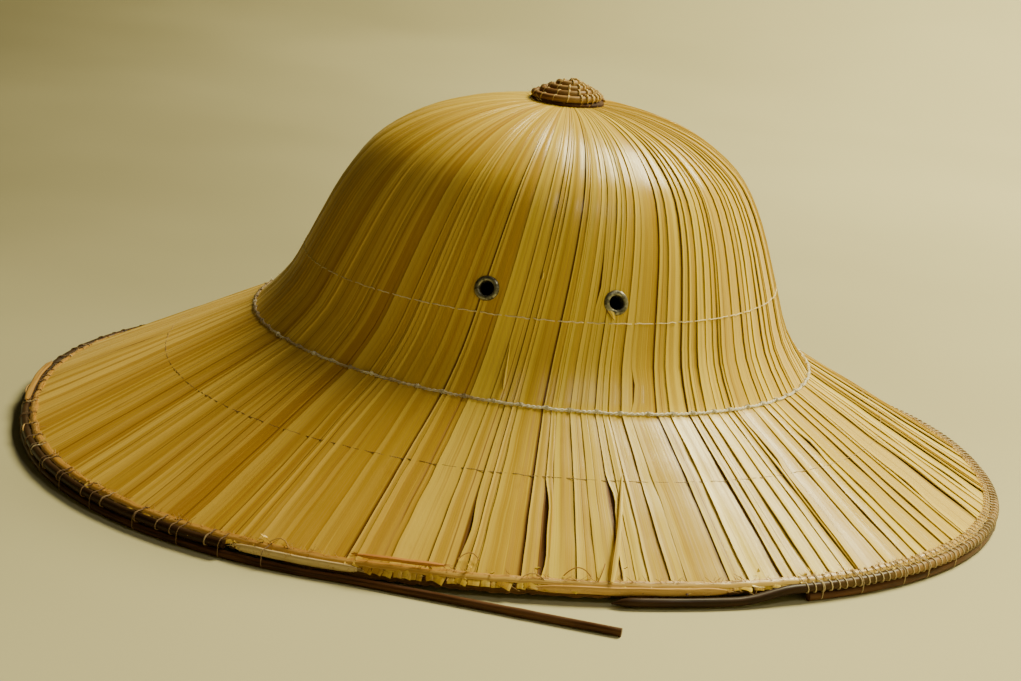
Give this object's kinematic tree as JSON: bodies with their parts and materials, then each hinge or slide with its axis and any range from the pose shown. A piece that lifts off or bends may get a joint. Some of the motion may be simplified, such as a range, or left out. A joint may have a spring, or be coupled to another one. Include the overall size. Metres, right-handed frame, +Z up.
{
  "type": "pith helmet",
  "caption": "Wide-brimmed sun helmet of overlapping pleated leaf strips, with a domed crown, coiled top button, ventilation eyelets and a cane-bound rim.",
  "frame": {"origin": "middle of the hat's box, on the surface that it stands on", "axes": "+X along the hat's length, +Z up to the button, -Y towards the side where the canes end"},
  "size_m": [0.4206, 0.393, 0.1621],
  "materials": {
    "leaf_strip": "dry straw-yellow leaf with a fine lengthwise grain, browned in the folds",
    "pale_thread": "matt off-white thread with small knots",
    "hem_leaf": "tan frayed leaf, matt",
    "brown_cane": "worn dark brown cane, slightly glossy",
    "dark_cane": "very dark brown cane, worn paler at its ends",
    "button_cord": "coiled plant cord, brown, with paler whip stitches",
    "pale_split": "pale split cane, matt",
    "yellow_split": "yellow split cane with small dark nicks",
    "red_split": "reddish brown split cane, satin",
    "tan_split": "tan split cane, matt",
    "eyelet_metal": "nickel dulled to a grey green"
  },
  "bodies": {
    "root": {"crown": "leaf_strip", "brim": "leaf_strip", "junction_cord": "pale_thread", "hem_strip": "hem_leaf", "upper_cane": "brown_cane", "lower_cane": "dark_cane", "crown_button": "button_cord", "peeled_split": "pale_split", "edge_split": "yellow_split", "front_splint": "red_split", "side_splint": "tan_split", "eyelet_1": "eyelet_metal", "eyelet_2": "eyelet_metal", "eyelet_3": "eyelet_metal", "eyelet_4": "eyelet_metal"}
  },
  "joints": []
}
